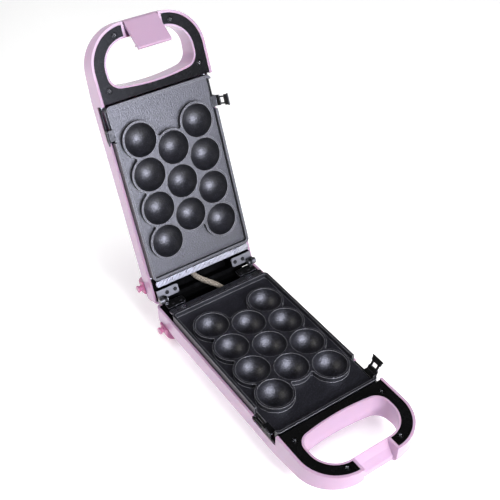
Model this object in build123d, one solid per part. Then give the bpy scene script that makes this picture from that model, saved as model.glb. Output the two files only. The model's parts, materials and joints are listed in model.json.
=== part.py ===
from build123d import *
import math
import os

# Cake pop maker: two moulded halves that are hinged at one end and carry a plate of eleven
# half-round cavities each. Lengths are millimetres and angles degrees.
#
# Each half is modelled in the closed position of the base: the hinge axis is the X axis, the
# parting plane is z = 0, "reach" is the distance from the hinge axis towards the handle (-Y) and
# "depth" is the distance below the parting plane (-Z). The lid is the mirror image of that,
# swung open about the hinge axis.

# --- Overall ---------------------------------------------------------------------------------
OPEN_ANGLE = 112.44          # lid against base when it leans on its stop
STOP_GAP = 0.3               # between the two end walls when the lid is open
SEAT_GAP = 0.3               # round a part that drops into a recess
PARTING_GAP = 0.5            # from each half's face to the parting plane

# --- Cavity plate ----------------------------------------------------------------------------
CAVITY_DIAMETER = 37.0
ROW_PITCH = 39.2
COLUMN_PITCH = 35.3
ROWS = 4
LAND_MARGIN = 2.2            # raised land round each cavity
LAND_HEIGHT = 6.0
LAND_CUSP_RADIUS = 2.5
PLATE_START = 24.0
PLATE_START_MARGIN = 18.7    # from the plate's end at the hinge to the raised land
PLATE_END_MARGIN = 23.3      # from the land to the plate's end at the handle
PLATE_SIDE_MARGIN = 8.0
PLATE_SIDE_GAP = 0.4
PLATE_CORNER = 5.0
PLATE_TOP = 0.6              # depth of the land and of the rim
PLATE_WALL = 2.4
PLATE_RIM_WIDTH = 2.8
PLATE_SKIRT_DEPTH = 13.0
TONGUE_WIDTH = 12.0
TONGUE_SPACING = 60.0

# --- Casing ----------------------------------------------------------------------------------
SPACE_UNDER_TRAY = 8.2
HANDLE_DEPTH = 22.0          # at the very end of the handle
CASING_WALL = 2.8
LONG_EDGE_RADIUS = 17.0
END_EDGE_RADIUS = 10.0
END_CORNER_RADIUS = 5.0
RIM_DEPTH = 9.7              # depth of the body's rim, which leaves the plates' sides open
SLOPE_BEFORE_PLATE_END = 40.0   # crease where the outer face starts to fall to the handle
HANDLE_LENGTH = 78.5         # from the plate's end
HANDLE_RADIUS = 43.5
HANDLE_EDGE_RADIUS = 8.0
HANDLE_GRIP_WIDTH = 16.5
HANDLE_SIDE_WIDTH = 16.2
OPENING_TOP_RADIUS = 27.0
OPENING_FROM_PLATE = 12.7
OPENING_BOTTOM_SAG = 5.5
OPENING_CORNER_RADIUS = 13.0
OPENING_EDGE_RADIUS = 5.5
OPENING_SIDE_SHARE = 0.95    # most that the two radii may take of the opening's side
OPENING_RING_WIDTH = 2.0     # edge of the casing that shows inside the handle trim

# --- Handle trim -----------------------------------------------------------------------------
TRIM_FROM_PLATE = 2.5
TRIM_THICKNESS = 2.5
TRIM_SKIRT_DEPTH = 12.0
TRIM_SKIRT_WALL = 2.0
GRIP_SCREW_X = 33.0
GRIP_SCREW_FROM_OPENING = 5.3
SIDE_SCREW_FROM_OPENING = (3.6, 2.3)    # out from its side, and in from its lower edge

# --- Latch -----------------------------------------------------------------------------------
LATCH_WIDTH = 39.0
LATCH_SIDE_GAP = 1.0
LATCH_CHEEK = 3.0
LATCH_AXIS_FROM_END = 4.2
LATCH_AXIS_DEPTH = 3.0       # in the lid, on its own side of the parting plane
LATCH_BARREL_RADIUS = 4.2
LATCH_PIN_RADIUS = 1.75
LATCH_BLADE_THICKNESS = 3.2
LATCH_BLADE_LENGTH = 33.0
LATCH_TOOTH_THICKNESS = 3.0
LATCH_TOOTH_EDGE = 1.0
LATCH_TOOTH_GAP = 1.2        # between the tooth and the base's outer face
LATCH_TOOTH_BITE = 0.8
LATCH_DROP_ANGLE = 52.0      # how far the free blade hangs inwards from its closed direction
RUNNING_GAP = 0.05           # round a pin that turns in a hole
RAMP_STEPS = ((16.3, 0.0), (11.5, 9.5), (5.5, 16.5), (5.5, 40.0))   # from the end, and depth
LID_NOTCH_STEPS = ((16.3, 0.0), (11.5, 9.0))

# --- Plate clips -----------------------------------------------------------------------------
CUTOUT_CLEARANCE = 2.0       # along the reach, beside the clips
CUTOUT_FROM_PLATE = 1.0
CUTOUT_BELOW_BARREL = 0.4
CUTOUT_RADIUS = 2.0
CLIP_SHEET = 1.2
CLIP_PIN_RADIUS = 1.25
CLIP_BARREL_RADIUS = 2.1
CLIP_AXIS_FROM_PLATE = 1.7
CLIP_AXIS_BELOW_RIM = 2.3
CLIP_HOOK_OVERLAP = 3.7      # over the plate
CLIP_TAB_FROM_PLATE = 10.0
CLIP_TAB_RISE = 9.0          # how far the finger tab stands past the parting plane
CLIP_SLOT = (6.0, 5.0)
CLIP_WAIST = (1.4, 6.0)      # how far and over what height the tab's two sides step in
CLIP_LIP_RADIUS = 1.0
CLIP_LIP_OVERHANG = 0.7
BASE_CLIP_LENGTH = 14.0
BASE_CLIP_FROM_END = 7.0     # from the clip to the plate's end at the handle
LID_CLIP_LENGTH = 12.0
LID_CLIP_FROM_END = 25.0
PLATE_NOTCH_DEPTH = 2.5

# --- Heating ---------------------------------------------------------------------------------
ELEMENT_DIAMETER = 6.5
ELEMENT_GAP = 0.3
ELEMENT_FROM_ENDS = (16.0, 21.45)       # from the plate's two ends
COLD_PIN_RADIUS = 1.5
COLD_PIN_LENGTH = 14.0
COLD_PIN_HOLE_RADIUS = 2.5
TRAY_SHEET = 1.0
TRAY_FROM_SIDE = 5.5
TRAY_FROM_ENDS = 6.0
TRAY_CORNER = 8.0
SADDLE_HALF_WIDTH = 5.0      # rests of the element in the tray
SADDLE_HALF_LENGTH = 4.0
SADDLE_HEIGHT = 1.7
SADDLES_FROM_ENDS = (36.0, 75.0)
POST_RADIUS = 4.5
POST_FROM_TRAY_SIDE = 10.5
POSTS_FROM_ENDS = (26.0, 53.0)
SCREW_RADIUS = 1.5
SCREW_HEAD_RADIUS = 3.0
SCREW_HEAD_HEIGHT = 1.2
SCREW_LENGTH = 9.0
SCREW_CROSS = (3.2, 0.8)

# --- Hinge end -------------------------------------------------------------------------------
BLOCK_TOP_DEPTH = 10.0
BLOCK_BOTTOM_DEPTH = 24.0
BLOCK_FROM_PLATE = 1.0
BLOCK_TROUGH_HALF_WIDTH = 36.0
BLOCK_FLOOR = 3.0            # under the trough
BLOCK_WALL = 2.0             # at the trough's closed end
BLOCK_CAP_FROM_SIDE = 7.2    # flange of the block over the casing's end wall
BLOCK_CAP_THICKNESS = 1.5
BLOCK_LEDGE_WIDTH = 7.0      # ledges of the casing that carry the block
BAR_FROM_TROUGH = 1.0
BAR_FROM_PLATE = 2.0
BAR_WIDTH = 7.0
BAR_FROM_SIDE = 2.4
BAR_TOP_DEPTH = 3.0
BAR_SHEET = 1.5
BAR_LIP_DEPTH = 6.0
BAR_SCREW_X = 45.0
LEAF_SHEET = 1.5
LEAF_FROM_TROUGH = 0.5
LEAF_DEPTH = 4.3
LEAF_WIDTH = 11.0            # from the hinge axis towards the plate
KNUCKLE_RADIUS = 4.0
KNUCKLE_FROM_SIDE = 11.2     # from the inner end of the base's knuckles to the casing's side
KNUCKLE_LENGTH = 3.6
KNUCKLE_GAP = 0.4
HINGE_PIN_RADIUS = 2.5
HINGE_PIN_HEAD = 1.0
RIVET_RADIUS = 2.4
RIVET_HEIGHT = 1.0
RIVET_LENGTH = 9.0
RIVETS_FROM_LEAF_END = (4.5, 15.0)
LEAD_DIAMETER = 6.4
LEAD_CHANNEL_X = 13.5        # on the right in the base and on the left in the lid
LEAD_CHANNEL_DEPTH = 12.2
LEAD_HALF_ROUTE = ((13.5, 20.0, 12.2), (13.0, 11.0, 11.0), (6.5, 3.0, 6.3))   # x, reach, depth

# --- Outer face ------------------------------------------------------------------------------
FOOT_HEIGHT = 6.0            # from the body's outer face to the resting plane
FOOT_BAR_START = 4.0
FOOT_BAR_WIDTH = 15.0
FOOT_BAR_OVERHANG = 2.3      # past the casing's sides
FOOT_BAR_RADIUS = 15.0
FOOT_BAR_WRAP = 21.0         # height of the wrapped ends of the bar
KNOB_RADIUS = 3.2
KNOB_LENGTH = 3.5
KNOB_HEAD_RADIUS = 4.2
KNOB_HEAD_LENGTH = 1.6
KNOB_HEIGHT = 16.5           # above the resting plane
FOOT_RADIUS = 6.5
FOOT_FROM_SIDE = 23.2
FOOT_FROM_CREASE = 6.5
LENS_RADIUS = 11.5
LENS_FROM_CREASE = 11.5      # from the window's edge to where the outer face starts to fall
LENS_RISE = 1.6
LENS_FLANGE = (2.0, 1.5)     # width and thickness
LENS_SOCKET_WALL = 1.5
LENS_SOCKET_HEIGHT = 5.0
BEZEL_WIDTH = 2.2
BEZEL_RISE = 1.4
LAMP_RADIUS = 3.0
LAMP_LENGTH = 7.0
FINGER_RECESS = (36.0, 11.0, 1.2)
FINGER_SLOT = (28.0, 2.6, 2.4)
FINGER_RECESS_FROM_END = 8.9
GLAND_REACH = 34.0
GLAND_RADIUS = 6.8
GLAND_FLANGE_RADIUS = 9.0
GLAND_FLANGE_HEIGHT = 1.5
GLAND_BORE_RADIUS = 3.5
GLAND_LENGTH = 10.0

# --- Inside ----------------------------------------------------------------------------------
THERMOSTAT_RADIUS = 7.5
THERMOSTAT_HEIGHT = 8.0
THERMOSTAT_FROM_PLATE_START = 23.0
FUSE_RADIUS = 2.0
FUSE_LENGTH = 14.0
BRACKET_WIDTH = 8.0
TERMINAL_SIZE = (26.0, 11.0, 6.5)
TERMINAL_REACH = 62.0
TERMINAL_COUNT = 3

# --- Worked out ------------------------------------------------------------------------------
LAND_RADIUS = CAVITY_DIAMETER / 2 + LAND_MARGIN
BUMP_RADIUS = CAVITY_DIAMETER / 2 + PLATE_WALL
FIRST_ROW = PLATE_START + PLATE_START_MARGIN + LAND_RADIUS
LAST_ROW = FIRST_ROW + ROW_PITCH * (ROWS - 1)
PLATE_END = LAST_ROW + LAND_RADIUS + PLATE_END_MARGIN
PLATE_LENGTH = PLATE_END - PLATE_START
PLATE_WIDTH = 2 * (COLUMN_PITCH + LAND_RADIUS + PLATE_SIDE_MARGIN)
PLATE_FACE_DEPTH = PLATE_TOP + LAND_HEIGHT

INNER_HALF_WIDTH = PLATE_WIDTH / 2 + PLATE_SIDE_GAP
HALF_WIDTH = INNER_HALF_WIDTH + CASING_WALL
FLANGE_HALF_WIDTH = INNER_HALF_WIDTH - SEAT_GAP
END_OFFSET = RIM_DEPTH / math.tan(math.radians(OPEN_ANGLE / 2)) - STOP_GAP
SLOPE_START = PLATE_END - SLOPE_BEFORE_PLATE_END
HANDLE_TOP = PLATE_END + HANDLE_LENGTH
OPENING_HALF_WIDTH = HALF_WIDTH - HANDLE_SIDE_WIDTH
OPENING_TOP = HANDLE_TOP - HANDLE_GRIP_WIDTH
OPENING_BOTTOM = PLATE_END + OPENING_FROM_PLATE

ELEMENT_DEPTH = PLATE_TOP + BUMP_RADIUS + ELEMENT_GAP + ELEMENT_DIAMETER / 2
ELEMENT_START = PLATE_START + ELEMENT_FROM_ENDS[0]
ELEMENT_TURN = PLATE_END - ELEMENT_FROM_ENDS[1] - ELEMENT_DIAMETER / 2 - COLUMN_PITCH
SADDLE_DEPTH = ELEMENT_DEPTH + ELEMENT_DIAMETER / 2
SADDLE_ROWS = (PLATE_START + SADDLES_FROM_ENDS[0], PLATE_END - SADDLES_FROM_ENDS[1])
TRAY_DEPTH = SADDLE_DEPTH + SADDLE_HEIGHT + TRAY_SHEET
TRAY_HALF_WIDTH = PLATE_WIDTH / 2 - TRAY_FROM_SIDE
TRAY_START = PLATE_START + TRAY_FROM_ENDS
TRAY_END = PLATE_END - TRAY_FROM_ENDS
POST_X = TRAY_HALF_WIDTH - POST_FROM_TRAY_SIDE
POST_ROWS = (PLATE_START + POSTS_FROM_ENDS[0], PLATE_END - POSTS_FROM_ENDS[1])
FLOOR_DEPTH = TRAY_DEPTH + SPACE_UNDER_TRAY
BODY_DEPTH = FLOOR_DEPTH + CASING_WALL
FOOT_DEPTH = BODY_DEPTH + FOOT_HEIGHT

TRIM_START = PLATE_END + TRIM_FROM_PLATE
TRIM_SEAT_DEPTH = PARTING_GAP + TRIM_THICKNESS
TRIM_SCREW_PLACES = (
    (GRIP_SCREW_X, OPENING_TOP + GRIP_SCREW_FROM_OPENING),
    (OPENING_HALF_WIDTH + SIDE_SCREW_FROM_OPENING[0], OPENING_BOTTOM + SIDE_SCREW_FROM_OPENING[1]),
)
NOTCH_HALF_WIDTH = LATCH_WIDTH / 2 + LATCH_SIDE_GAP
CHEEK_HALF_WIDTH = NOTCH_HALF_WIDTH + LATCH_CHEEK
LATCH_AXIS_REACH = HANDLE_TOP - LATCH_AXIS_FROM_END
FINGER_RECESS_REACH = HANDLE_TOP - FINGER_RECESS_FROM_END

CLIP_AXIS_X = PLATE_WIDTH / 2 + CLIP_AXIS_FROM_PLATE
CLIP_AXIS_DEPTH = RIM_DEPTH + CLIP_AXIS_BELOW_RIM
CLIP_HOOK_TIP_X = PLATE_WIDTH / 2 - CLIP_HOOK_OVERLAP
CLIP_TAB_REACH_X = PLATE_WIDTH / 2 + CLIP_TAB_FROM_PLATE
BASE_CLIP_END = PLATE_END - BASE_CLIP_FROM_END
BASE_CLIP_SPAN = (BASE_CLIP_END - BASE_CLIP_LENGTH, BASE_CLIP_END)
LID_CLIP_END = PLATE_END - LID_CLIP_FROM_END
LID_CLIP_SPAN = (LID_CLIP_END - LID_CLIP_LENGTH, LID_CLIP_END)
CUTOUT_START = min(BASE_CLIP_SPAN[0], LID_CLIP_SPAN[0]) - CUTOUT_CLEARANCE
CUTOUT_END = PLATE_END + CUTOUT_FROM_PLATE
CUTOUT_DEPTH = CLIP_AXIS_DEPTH + CLIP_BARREL_RADIUS + CUTOUT_BELOW_BARREL
PLATE_NOTCH_SPAN = (CUTOUT_START, max(BASE_CLIP_END, LID_CLIP_END) + CUTOUT_CLEARANCE)

BLOCK_END = PLATE_START - BLOCK_FROM_PLATE
BLOCK_CAP_HALF_WIDTH = HALF_WIDTH - BLOCK_CAP_FROM_SIDE
BLOCK_TROUGH_DEPTH = BLOCK_BOTTOM_DEPTH - BLOCK_FLOOR
BAR_START = PLATE_START - BAR_FROM_PLATE - BAR_WIDTH
BAR_HALF_LENGTH = INNER_HALF_WIDTH - BAR_FROM_SIDE
BLOCK_TROUGH_END = BAR_START - BAR_FROM_TROUGH
LEAF_INNER_X = BLOCK_TROUGH_HALF_WIDTH + LEAF_FROM_TROUGH
RIVET_PLACES = tuple(LEAF_INNER_X + offset for offset in RIVETS_FROM_LEAF_END)
KNUCKLE_INNER_X = HALF_WIDTH - KNUCKLE_FROM_SIDE

FOOT_BAR_HALF_LENGTH = HALF_WIDTH + FOOT_BAR_OVERHANG
FOOT_BAR_RISE = FOOT_DEPTH - FOOT_BAR_WRAP
KNOB_DEPTH = FOOT_DEPTH - KNOB_HEIGHT
FOOT_X = HALF_WIDTH - FOOT_FROM_SIDE
FOOT_REACH = SLOPE_START - FOOT_FROM_CREASE - FOOT_RADIUS
LENS_REACH = SLOPE_START - LENS_FROM_CREASE - LENS_RADIUS
THERMOSTAT_REACH = PLATE_START + THERMOSTAT_FROM_PLATE_START


# --- Small helpers ---------------------------------------------------------------------------
def place(x, reach, depth=0.0):
    """A point of the closed base, from its side offset, reach and depth."""
    return Vector(x, -reach, -depth)


def block(half_width, start, end, top, bottom, x=0.0):
    """A box that spans reaches start..end and depths top..bottom."""
    centre = place(x, (start + end) / 2, (top + bottom) / 2)
    return Pos(centre) * Box(2 * half_width, end - start, bottom - top)


def span_block(x_from, x_to, start, end, top, bottom):
    """A box between two side offsets, reaches and depths."""
    return block(abs(x_to - x_from) / 2, start, end, top, bottom, (x_from + x_to) / 2)


def post(radius, x, reach, top, bottom):
    """An upright cylinder between two depths."""
    return Pos(place(x, reach, (top + bottom) / 2)) * Cylinder(radius, bottom - top)


def cross_rod(radius, x_from, x_to, reach, depth):
    """A cylinder along X."""
    centre = place((x_from + x_to) / 2, reach, depth)
    return Pos(centre) * Rot(Y=90) * Cylinder(radius, abs(x_to - x_from))


def reach_rod(radius, x, start, end, depth):
    """A cylinder along the reach."""
    return Pos(place(x, (start + end) / 2, depth)) * Rot(X=90) * Cylinder(radius, end - start)


def side_profile(points, half_width):
    """Extrudes a closed outline of (reach, depth) points across the width."""
    outline = Polyline([place(0, *p) for p in points], close=True)
    return extrude(make_face(outline), half_width, dir=(1, 0, 0), both=True)


def both_sides(shape):
    """A solid of the right side with its copy on the left."""
    return [shape, shape.mirror(Plane.YZ)]


def group(shapes):
    """Separate solids kept together as one node."""
    return Compound([solid for shape in shapes for solid in shape.solids()])


def swing_lid(shape):
    """Moves a solid of the closed base to its place in the open lid."""
    return Rot(X=-OPEN_ANGLE) * shape.mirror(Plane.XY)


# --- Cavity plate ----------------------------------------------------------------------------
def cavity_places():
    """Four, three and four cavities in staggered columns."""
    for column in (-1, 0, 1):
        shift = 0.0 if column else 0.5
        for row in range(ROWS if column else ROWS - 1):
            yield column * COLUMN_PITCH, FIRST_ROW + ROW_PITCH * (row + shift)


def land_outline():
    """Scalloped outline that follows the cavities and is filled between them."""
    half_row = ROW_PITCH / 2
    corners = [
        (-COLUMN_PITCH, FIRST_ROW), (0, FIRST_ROW + half_row), (COLUMN_PITCH, FIRST_ROW),
        (COLUMN_PITCH, LAST_ROW), (0, LAST_ROW - half_row), (-COLUMN_PITCH, LAST_ROW),
    ]
    outline = make_face(Polyline([place(*c) for c in corners], close=True))
    for x, reach in cavity_places():
        outline += Pos(place(x, reach)) * Circle(LAND_RADIUS)
    return fillet(outline.vertices(), LAND_CUSP_RADIUS)


def cavity_plate():
    """Die-cast plate: floor, rim and skirt, a raised land and eleven half-round cavities."""
    middle = place(0, PLATE_START + PLATE_LENGTH / 2)
    outer = RectangleRounded(PLATE_WIDTH, PLATE_LENGTH, PLATE_CORNER)
    inner = RectangleRounded(
        PLATE_WIDTH - 2 * PLATE_RIM_WIDTH, PLATE_LENGTH - 2 * PLATE_RIM_WIDTH,
        PLATE_CORNER - PLATE_RIM_WIDTH,
    )
    underside = RectangleRounded(
        PLATE_WIDTH - 2 * PLATE_WALL, PLATE_LENGTH - 2 * PLATE_WALL, PLATE_CORNER - PLATE_WALL,
    )
    plate = Pos(middle + place(0, 0, PLATE_SKIRT_DEPTH)) * extrude(
        outer, PLATE_SKIRT_DEPTH - PLATE_TOP)
    plate -= Pos(middle + place(0, 0, PLATE_FACE_DEPTH)) * extrude(inner, PLATE_FACE_DEPTH)
    under_face = PLATE_FACE_DEPTH + PLATE_WALL
    plate -= Pos(middle + place(0, 0, PLATE_SKIRT_DEPTH)) * extrude(
        underside, PLATE_SKIRT_DEPTH - under_face)
    land = extrude(land_outline(), LAND_HEIGHT + PLATE_WALL / 2)
    plate += Pos(place(0, 0, PLATE_FACE_DEPTH + PLATE_WALL / 2)) * land
    for x, reach in cavity_places():
        bump = Sphere(BUMP_RADIUS) & Pos(0, 0, -BUMP_RADIUS) * Box(*[2 * BUMP_RADIUS] * 3)
        plate += Pos(place(x, reach, PLATE_TOP)) * bump
    for x, reach in cavity_places():
        plate -= Pos(place(x, reach, PLATE_TOP)) * Sphere(CAVITY_DIAMETER / 2)
    edge_x = PLATE_WIDTH / 2
    for side in (-1, 1):
        plate -= span_block(side * (edge_x - PLATE_NOTCH_DEPTH), side * (edge_x + 1),
                            *PLATE_NOTCH_SPAN, 0, PLATE_SKIRT_DEPTH + 1)
        rim_x = edge_x - PLATE_RIM_WIDTH - 1
        plate -= span_block(side * rim_x, side * (edge_x + 1), *PLATE_NOTCH_SPAN,
                            0, PLATE_FACE_DEPTH)
        tongue_x = side * TONGUE_SPACING / 2
        plate += block(TONGUE_WIDTH / 2, BAR_START + BAR_WIDTH - 3, PLATE_START + 1,
                       PLATE_FACE_DEPTH, under_face, tongue_x)
    return plate


# --- Casing ----------------------------------------------------------------------------------
def plan_outline(inset):
    """Plan of a half with its round handle, square at the hinge end."""
    start = -END_OFFSET + inset
    end = HANDLE_TOP - inset
    sheet = Pos(place(0, (start + end) / 2)) * Rectangle(2 * (HALF_WIDTH - inset), end - start)
    far = sheet.vertices().sort_by(Axis.Y)[:2]
    return fillet(far, HANDLE_RADIUS - inset)


def opening_outline(grow=0.0):
    """The hand opening: round shoulders above, a shallow sagging edge below."""
    half = OPENING_HALF_WIDTH + grow
    top = OPENING_TOP + grow
    bottom = OPENING_BOTTOM - grow
    sides = bottom + OPENING_BOTTOM_SAG
    lower = ThreePointArc(place(-half, sides), place(0, bottom), place(half, sides))
    frame = Polyline(place(half, sides), place(half, top), place(-half, top), place(-half, sides))
    sheet = make_face(lower + frame)
    upper = sheet.vertices().sort_by(Axis.Y)[:2]
    upper_radius = OPENING_TOP_RADIUS + grow
    lower_radius = OPENING_CORNER_RADIUS + grow
    fit = min(1.0, OPENING_SIDE_SHARE * (top - sides) / (upper_radius + lower_radius))
    sheet = fillet(upper, upper_radius * fit)
    corners = sheet.vertices().sort_by(Axis.Y)[-2:]
    return fillet(corners, lower_radius * fit)


def slope_angle():
    """Fall of the outer face from the crease to the end of the handle."""
    return math.atan2(BODY_DEPTH - HANDLE_DEPTH, HANDLE_TOP - SLOPE_START)


def slope_depth(reach, inset=0.0):
    """Depth of the sloping outer face, or of a surface that lies inset inside it."""
    fall = (reach - SLOPE_START) * math.tan(slope_angle())
    return BODY_DEPTH - fall - inset / math.cos(slope_angle())


def form(inset, top):
    """Closed form of a half, shrunk by inset: plan, slope, cross-section and heel combined."""
    width = HALF_WIDTH - inset
    depth = BODY_DEPTH - inset
    start = -END_OFFSET + inset
    plan = Pos(0, 0, -2 * BODY_DEPTH) * extrude(plan_outline(inset), 2 * BODY_DEPTH - top)
    above_slope = side_profile(
        [(start - 1, top - 1), (start - 1, slope_depth(start - 1, inset)),
         (HANDLE_TOP + 1, slope_depth(HANDLE_TOP + 1, inset)), (HANDLE_TOP + 1, top - 1)],
        HALF_WIDTH + 1)
    wedge = plan & above_slope
    wedge = fillet(slope_edges(wedge), HANDLE_EDGE_RADIUS - inset)
    section = fillet(
        Rectangle(2 * width, 2 * depth).vertices(), LONG_EDGE_RADIUS - inset)
    trough = Pos(place(0, start)) * extrude(Plane.XZ * section, HANDLE_TOP - start)
    heel = Pos(place(0, (start + HANDLE_TOP) / 2)) * Box(2 * width, HANDLE_TOP - start, 2 * depth)
    heel_edge = heel.edges().filter_by(Axis.X).sort_by_distance(place(0, start, depth))[0]
    return wedge & (trough & fillet(heel_edge, END_EDGE_RADIUS - inset))


def slope_edges(shape):
    """The closed edge round the sloping face."""
    return slope_face(shape).outer_wire().edges().filter_by(
        lambda edge: -edge.center().Y > END_CORNER_RADIUS)


def slope_face(shape):
    """The flat face that slopes towards the handle."""
    normal = Vector(0, -math.sin(slope_angle()), -math.cos(slope_angle()))
    flats = shape.faces().filter_by(GeomType.PLANE)
    return [face for face in flats if face.normal_at().dot(normal) > 0.9999][0]


def notch_cutter(steps):
    """Room for the latch across the top of the handle."""
    edge = [(HANDLE_TOP - from_end, depth) for from_end, depth in steps]
    end = HANDLE_TOP + 1
    points = [(edge[0][0], -1), *edge, (end, edge[-1][1]), (end, -1)]
    return side_profile(points, NOTCH_HALF_WIDTH)


def casing(is_lid):
    """Moulded shell of one half with its bosses, seats and cut-outs."""
    shell = form(0.0, PARTING_GAP)
    uprights = shell.edges().filter_by(Axis.Z).group_by(Axis.Y)[-1]
    shell = fillet(uprights, END_CORNER_RADIUS)
    shell -= Pos(0, 0, -2 * BODY_DEPTH) * extrude(opening_outline(), 2 * BODY_DEPTH)
    mouth = slope_face(shell).inner_wires()[0]
    shell = fillet(mouth.edges(), OPENING_EDGE_RADIUS)
    hollow = form(CASING_WALL, 0.0)
    boss = Pos(0, 0, -2 * BODY_DEPTH) * extrude(
        opening_outline(CASING_WALL), 2 * BODY_DEPTH - TRIM_SEAT_DEPTH)
    hollow -= boss
    hollow -= Pos(0, 0, -2 * BODY_DEPTH) * extrude(
        opening_outline(OPENING_RING_WIDTH), 2 * BODY_DEPTH)
    hollow -= block(CHEEK_HALF_WIDTH + LATCH_CHEEK, OPENING_TOP - 1, HANDLE_TOP,
                    TRIM_SEAT_DEPTH, BODY_DEPTH)
    hollow -= block(CHEEK_HALF_WIDTH, OPENING_TOP - 1, HANDLE_TOP, 0, BODY_DEPTH)
    for x, reach in TRIM_SCREW_PLACES:
        for side in (-1, 1):
            hollow -= post(POST_RADIUS - 1, side * x, reach, TRIM_SEAT_DEPTH, BODY_DEPTH)
    for x in (-POST_X, POST_X):
        for reach in POST_ROWS:
            hollow -= post(POST_RADIUS, x, reach, TRAY_DEPTH, BODY_DEPTH)
    for side in (-1, 1):
        ledge_x = INNER_HALF_WIDTH - BLOCK_LEDGE_WIDTH
        hollow -= span_block(side * ledge_x, side * INNER_HALF_WIDTH,
                             -END_OFFSET, BLOCK_END, BLOCK_BOTTOM_DEPTH, BODY_DEPTH)
    shell -= hollow
    shell -= block(HALF_WIDTH + 1, -END_OFFSET - 1, CUTOUT_END, 0, RIM_DEPTH)
    shell -= block(BLOCK_CAP_HALF_WIDTH + SEAT_GAP, -END_OFFSET - 1,
                   CASING_WALL + SEAT_GAP - END_OFFSET, 0, RIM_DEPTH + BLOCK_CAP_THICKNESS)
    for side in (-1, 1):
        wall_x = side * (INNER_HALF_WIDTH + CASING_WALL / 2)
        gap = block(CASING_WALL, CUTOUT_START, CUTOUT_END, 0, CUTOUT_DEPTH, wall_x)
        corners = gap.edges().filter_by(Axis.X).group_by(Axis.Z)[0]
        shell -= fillet(corners, CUTOUT_RADIUS)
        shell -= reach_rod(CLIP_PIN_RADIUS + RUNNING_GAP, side * CLIP_AXIS_X,
                           *clip_pin_span(), CLIP_AXIS_DEPTH)
    for shank in trim_screw_shanks() + tray_screw_shanks() + [foot_screw_shank(RUNNING_GAP)]:
        shell -= shank
    if is_lid:
        return shell - lid_cuts()
    return shell - base_cuts()


def lid_cuts():
    """Latch notch with its pin holes, finger recess with its slot, and the lamp window."""
    cuts = notch_cutter(LID_NOTCH_STEPS)
    pin_half = NOTCH_HALF_WIDTH + LATCH_CHEEK - PARTING_GAP
    cuts += cross_rod(LATCH_PIN_RADIUS + RUNNING_GAP, -pin_half, pin_half,
                      LATCH_AXIS_REACH, LATCH_AXIS_DEPTH)
    for width, length, sink in (FINGER_RECESS, FINGER_SLOT):
        floor = slope_depth(FINGER_RECESS_REACH) - sink
        shift = 0 if (width, length, sink) == FINGER_RECESS else length
        pad = RectangleRounded(width, length, length * 0.45)
        cuts += Pos(place(0, FINGER_RECESS_REACH - shift, BODY_DEPTH)) * extrude(
            pad, BODY_DEPTH - floor)
    cuts += post(LENS_RADIUS, 0, LENS_REACH, FLOOR_DEPTH - 1, BODY_DEPTH + 1)
    return cuts


def base_cuts():
    """Ramp that the latch slides over, and the hole for the cord gland."""
    cuts = notch_cutter(RAMP_STEPS)
    cuts += post(GLAND_RADIUS, 0, GLAND_REACH, FLOOR_DEPTH - 1, BODY_DEPTH + 1)
    return cuts


def clip_pin_span():
    """Reach of the two ends of a clip's pin, set into the casing beside the cut-out."""
    return CUTOUT_START - CLIP_PIN_RADIUS * 2, CUTOUT_END + CLIP_PIN_RADIUS * 2


# --- Screws ----------------------------------------------------------------------------------
def screw_shank(x, reach, head_depth, gap=0.0):
    return post(SCREW_RADIUS + gap, x, reach, head_depth, head_depth + SCREW_LENGTH)


def screw(x, reach, head_depth):
    """Pan-head screw with a cross recess; head_depth is the seat under its head."""
    head = post(SCREW_HEAD_RADIUS, x, reach, head_depth - SCREW_HEAD_HEIGHT, head_depth)
    top_edge = head.edges().sort_by(Axis.Z)[-1]
    head = fillet(top_edge, SCREW_HEAD_HEIGHT / 3)
    body = head + screw_shank(x, reach, head_depth)
    for length, width in (SCREW_CROSS, SCREW_CROSS[::-1]):
        top = head_depth - SCREW_HEAD_HEIGHT
        body -= Pos(place(x, reach, top)) * Box(length, width, SCREW_HEAD_HEIGHT)
    return body


def trim_screw_places():
    for x, reach in TRIM_SCREW_PLACES:
        yield x, reach
        yield -x, reach


def trim_screw_shanks():
    return [screw_shank(x, reach, trim_screw_seat(), RUNNING_GAP)
            for x, reach in trim_screw_places()]


def trim_screw_seat():
    return PARTING_GAP + SCREW_HEAD_HEIGHT


def tray_screw_places():
    for x in (-POST_X, POST_X):
        for reach in POST_ROWS:
            yield x, reach


def tray_screw_seat():
    return TRAY_DEPTH - TRAY_SHEET


def tray_screw_shanks():
    return [screw_shank(x, reach, tray_screw_seat(), RUNNING_GAP)
            for x, reach in tray_screw_places()]


# --- Handle trim -----------------------------------------------------------------------------
def handle_trim():
    """Flat trim round the hand opening, open at the latch, with a skirt beside the plate."""
    outline = plan_outline(CASING_WALL + SEAT_GAP)
    trim = Pos(0, 0, -TRIM_SEAT_DEPTH) * extrude(outline, TRIM_THICKNESS)
    trim -= block(HALF_WIDTH, -END_OFFSET, TRIM_START, 0, TRIM_SEAT_DEPTH + 1)
    trim -= Pos(0, 0, -BODY_DEPTH) * extrude(
        opening_outline(OPENING_RING_WIDTH + SEAT_GAP / 2), BODY_DEPTH)
    trim -= block(CHEEK_HALF_WIDTH + SEAT_GAP, OPENING_TOP - 1, HANDLE_TOP, 0, BODY_DEPTH)
    trim += block(FLANGE_HALF_WIDTH, TRIM_START, TRIM_START + TRIM_SKIRT_WALL,
                  PARTING_GAP, TRIM_SKIRT_DEPTH)
    for x, reach in trim_screw_places():
        trim -= post(SCREW_HEAD_RADIUS + SEAT_GAP, x, reach, 0, trim_screw_seat())
        trim -= screw_shank(x, reach, 0, SEAT_GAP)
    return trim


def trim_screws():
    return group([screw(x, reach, trim_screw_seat()) for x, reach in trim_screw_places()])


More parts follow.
